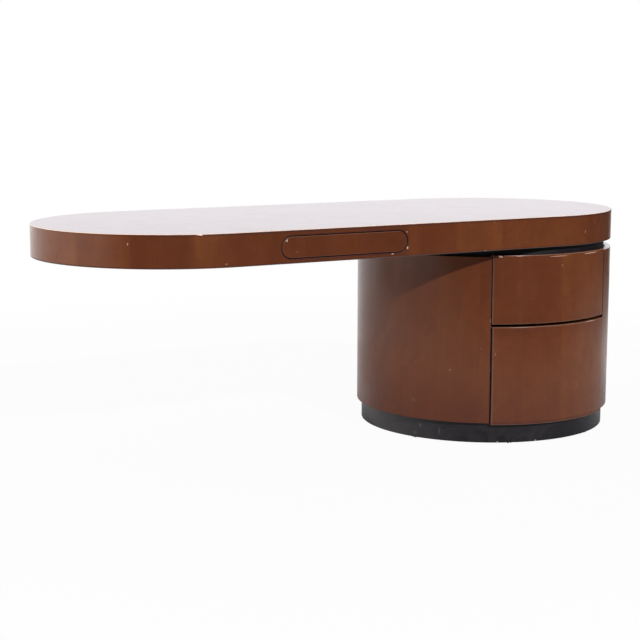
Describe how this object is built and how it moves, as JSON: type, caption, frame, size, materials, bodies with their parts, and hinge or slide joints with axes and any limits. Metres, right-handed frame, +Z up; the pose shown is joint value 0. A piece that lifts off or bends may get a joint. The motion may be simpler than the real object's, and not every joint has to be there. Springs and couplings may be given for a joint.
{
  "type": "cantilever desk",
  "caption": "Long round-ended desk top with a flush pencil drawer, cantilevered from a drum pedestal whose bowed drawers open on slides under a shadow-gap collar.",
  "frame": {"origin": "on the floor under the middle of the top", "axes": "+X along the top towards the drum pedestal, +Y away from the sitter's side where the drawers open, +Z up"},
  "size_m": [2.032, 0.871, 0.737],
  "materials": {
    "stained_veneer": "reddish-brown stained veneer under worn semi-gloss lacquer",
    "black_lacquer": "black lacquer, scuffed",
    "plywood": "plain plywood, sealed",
    "drawer_wood": "clear satin lacquer",
    "frame_steel": "black primer",
    "zinc_steel": "bright zinc plate",
    "nylon": "moulded, matte",
    "latch_plastic": "moulded, matte"
  },
  "bodies": {
    "desk": {"base_plate": "frame_steel", "bay_back_rail": "plywood", "bay_wall_left": "plywood", "bay_wall_right": "plywood", "cabinet_back": "plywood", "cabinet_side_left": "plywood", "cabinet_side_right": "plywood", "cantilever_beam_front": "frame_steel", "cantilever_beam_rear": "frame_steel", "collar_ring": "black_lacquer", "cross_ribs": "plywood", "drum_bottom_deck": "plywood", "drum_shell": "stained_veneer", "drum_top_deck": "plywood", "edge_band": "stained_veneer", "floor_glides": "nylon", "foot_bolts": "zinc_steel", "left_post": "frame_steel", "lower_slide_outer_left": "zinc_steel", "lower_slide_outer_right": "zinc_steel", "pencil_runners": "drawer_wood", "plinth_ring": "black_lacquer", "right_post": "frame_steel", "soffit_panel": "stained_veneer", "top_bolt_nuts": "zinc_steel", "top_bolts": "zinc_steel", "top_core": "plywood", "top_veneer": "stained_veneer", "touch_latch_body": "latch_plastic", "upper_slide_outer_left": "zinc_steel", "upper_slide_outer_right": "zinc_steel"},
    "pencil_drawer": {"pencil_front": "stained_veneer", "pencil_side_left": "drawer_wood", "pencil_side_right": "drawer_wood", "pencil_back": "drawer_wood", "pencil_bottom": "drawer_wood"},
    "latch_plunger": {"touch_latch_plunger": "nylon"},
    "upper_drawer": {"upper_front": "stained_veneer", "upper_side_left": "drawer_wood", "upper_side_right": "drawer_wood", "upper_back": "drawer_wood", "upper_bottom": "drawer_wood", "upper_corner_blocks": "drawer_wood", "upper_front_screws": "zinc_steel", "upper_slide_inner_left": "zinc_steel", "upper_slide_inner_right": "zinc_steel"},
    "lower_drawer": {"lower_front": "stained_veneer", "lower_side_left": "drawer_wood", "lower_side_right": "drawer_wood", "lower_back": "drawer_wood", "lower_bottom": "drawer_wood", "lower_corner_blocks": "drawer_wood", "lower_front_screws": "zinc_steel", "lower_slide_inner_left": "zinc_steel", "lower_slide_inner_right": "zinc_steel"},
    "upper_slide_middles": {"upper_slide_middle_left": "zinc_steel", "upper_slide_middle_right": "zinc_steel"},
    "lower_slide_middles": {"lower_slide_middle_left": "zinc_steel", "lower_slide_middle_right": "zinc_steel"}
  },
  "joints": [
    {"name": "pencil_drawer_slide", "type": "slide", "parent": "desk", "child": "pencil_drawer", "axis": [0, -1, 0], "range_m": [0, 0.2]},
    {"name": "latch_push", "type": "slide", "parent": "desk", "child": "latch_plunger", "axis": [0, 1, 0], "range_m": [0, 0.0025], "stiffness_N_per_m": 200},
    {"name": "upper_drawer_slide", "type": "slide", "parent": "desk", "child": "upper_drawer", "axis": [0, -1, 0], "range_m": [0, 0.42]},
    {"name": "lower_drawer_slide", "type": "slide", "parent": "desk", "child": "lower_drawer", "axis": [0, -1, 0], "range_m": [-0.005, 0.415]},
    {"name": "upper_middle_slide", "type": "slide", "parent": "desk", "child": "upper_slide_middles", "axis": [0, -1, 0], "range_m": [0, 0.21]},
    {"name": "lower_middle_slide", "type": "slide", "parent": "desk", "child": "lower_slide_middles", "axis": [0, -1, 0], "range_m": [-0.0025, 0.2075]}
  ],
  "couplings": [
    {"joint": "upper_middle_slide", "follows": "upper_drawer_slide", "ratio": 0.5},
    {"joint": "lower_middle_slide", "follows": "lower_drawer_slide", "ratio": 0.5}
  ]
}
